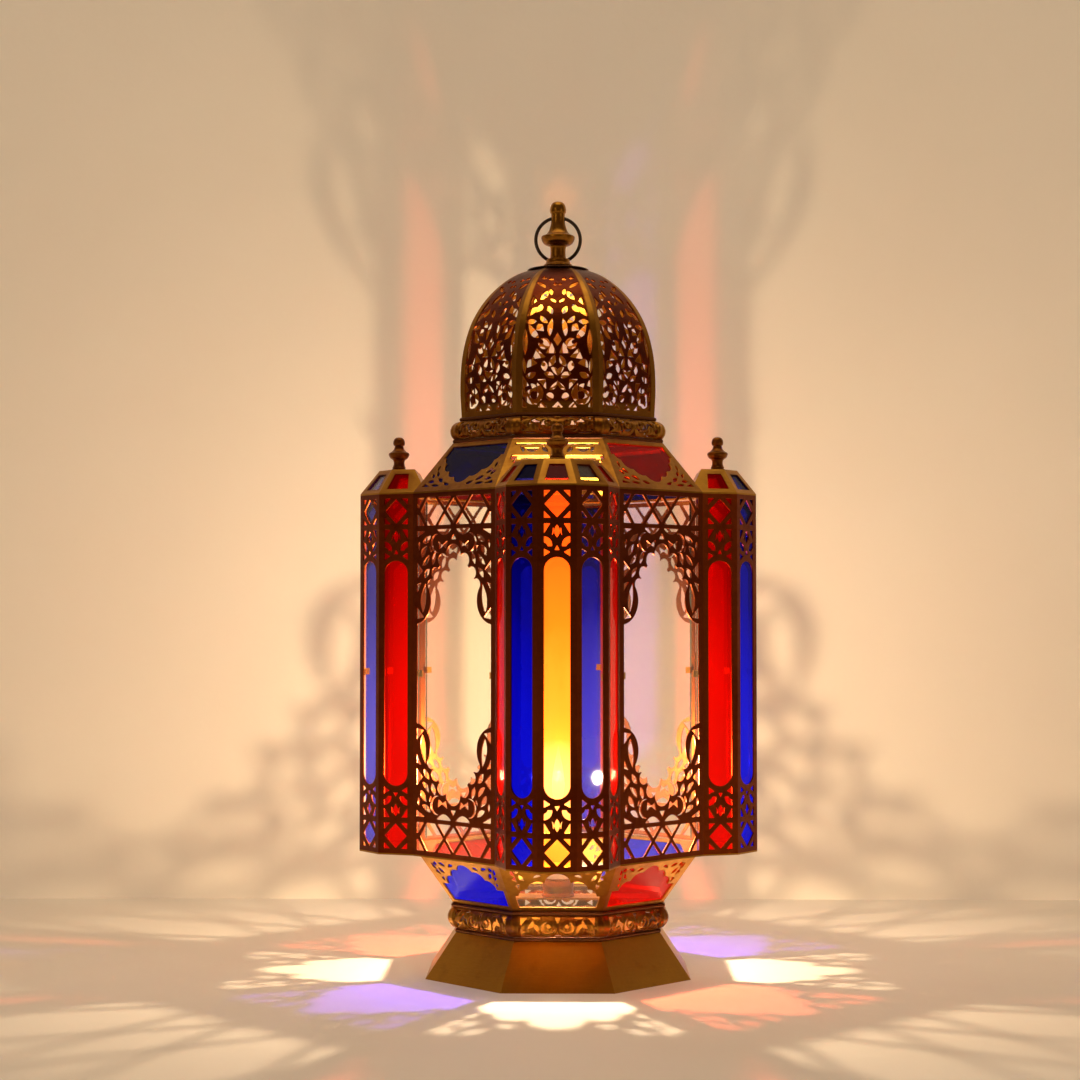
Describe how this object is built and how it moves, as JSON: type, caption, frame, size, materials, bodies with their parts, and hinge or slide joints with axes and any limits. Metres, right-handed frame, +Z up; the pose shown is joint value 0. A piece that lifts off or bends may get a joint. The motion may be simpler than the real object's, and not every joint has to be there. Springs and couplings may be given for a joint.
{
  "type": "candle lantern",
  "caption": "Tall octagonal table lantern of pierced brass with a ribbed dome, half-decagon corner towers, coloured glass panes, an arched door, a hanging ring and a candle inside.",
  "frame": {"origin": "on the table surface, under the centre of the dome's finial", "axes": "+Z up along the lantern's axis, -Y the front tower, +X the right tower"},
  "size_m": [0.3066, 0.3066, 0.6],
  "materials": {
    "antique_brass": "satin antique brass, darker in the folds",
    "dark_wire": "near-black browned steel",
    "steel_fixings": "satin",
    "clear_glass": "clear",
    "red_glass": "clear coloured",
    "blue_glass": "clear coloured",
    "amber_glass": "clear coloured",
    "wax": "smooth wax",
    "wick_cotton": "charred cotton"
  },
  "bodies": {
    "lantern": {"base_skirt": "antique_brass", "base_bead_lower": "antique_brass", "base_moulding": "antique_brass", "base_bead_upper": "antique_brass", "bowl_frame": "antique_brass", "body_floor": "antique_brass", "body_rim": "antique_brass", "tower_right": "antique_brass", "tower_back": "antique_brass", "tower_left": "antique_brass", "tower_front": "antique_brass", "panel_front_left": "antique_brass", "panel_front_right": "antique_brass", "panel_back_left": "antique_brass", "tower_roof_right": "antique_brass", "tower_roof_back": "antique_brass", "tower_roof_left": "antique_brass", "tower_roof_front": "antique_brass", "tower_finials": "antique_brass", "roof_frame": "antique_brass", "dome_bead_lower": "antique_brass", "dome_moulding": "antique_brass", "dome_bead_upper": "antique_brass", "dome_shell": "antique_brass", "crown_collar": "antique_brass", "crown_finial": "antique_brass", "hinge_leaves_tower": "antique_brass", "latch_stud": "antique_brass", "glass_clips": "antique_brass", "panel_clips": "antique_brass", "candle_bridge": "antique_brass", "candle_cup": "antique_brass", "dome_cap": "dark_wire", "hinge_pins": "steel_fixings", "tower_finial_nuts": "steel_fixings", "crown_nut": "steel_fixings", "bowl_glass_clear": "clear_glass", "bowl_glass_blue": "blue_glass", "bowl_glass_red": "red_glass", "roof_glass_clear": "clear_glass", "roof_glass_blue": "blue_glass", "roof_glass_red": "red_glass", "tower_glass_clear": "clear_glass", "tower_glass_blue": "blue_glass", "tower_glass_red": "red_glass", "tower_glass_amber": "amber_glass", "tower_roof_glass_clear": "clear_glass", "tower_roof_glass_blue": "blue_glass", "tower_roof_glass_red": "red_glass", "tower_roof_glass_amber": "amber_glass", "panel_glass": "clear_glass"},
    "door": {"door_frame": "antique_brass", "door_glass": "clear_glass", "door_clips": "antique_brass", "hinge_leaves_door": "antique_brass", "latch_rivet": "antique_brass"},
    "latch": {"latch_hook": "antique_brass"},
    "ring": {"hanging_ring": "dark_wire"},
    "candle": {"candle": "wax", "wick": "wick_cotton"}
  },
  "joints": [
    {"name": "ring_swing", "type": "hinge", "parent": "lantern", "child": "ring", "pos_m": [0, 0, 0.5873], "axis": [1, 0, 0], "range_deg": [0, 323]},
    {"name": "door_hinge", "type": "hinge", "parent": "lantern", "child": "door", "pos_m": [0.0491, 0.10986, 0.23125], "axis": [0, 0, 1], "range_deg": [0, 130]},
    {"name": "latch_swing", "type": "hinge", "parent": "door", "child": "latch", "pos_m": [0.11014, 0.05051, 0.23325], "axis": [-0.7071, -0.7071, 0], "range_deg": [0, 90]},
    {"name": "candle_lift", "type": "slide", "parent": "lantern", "child": "candle", "axis": [0, 0, 1], "range_m": [0, 0.06]}
  ]
}
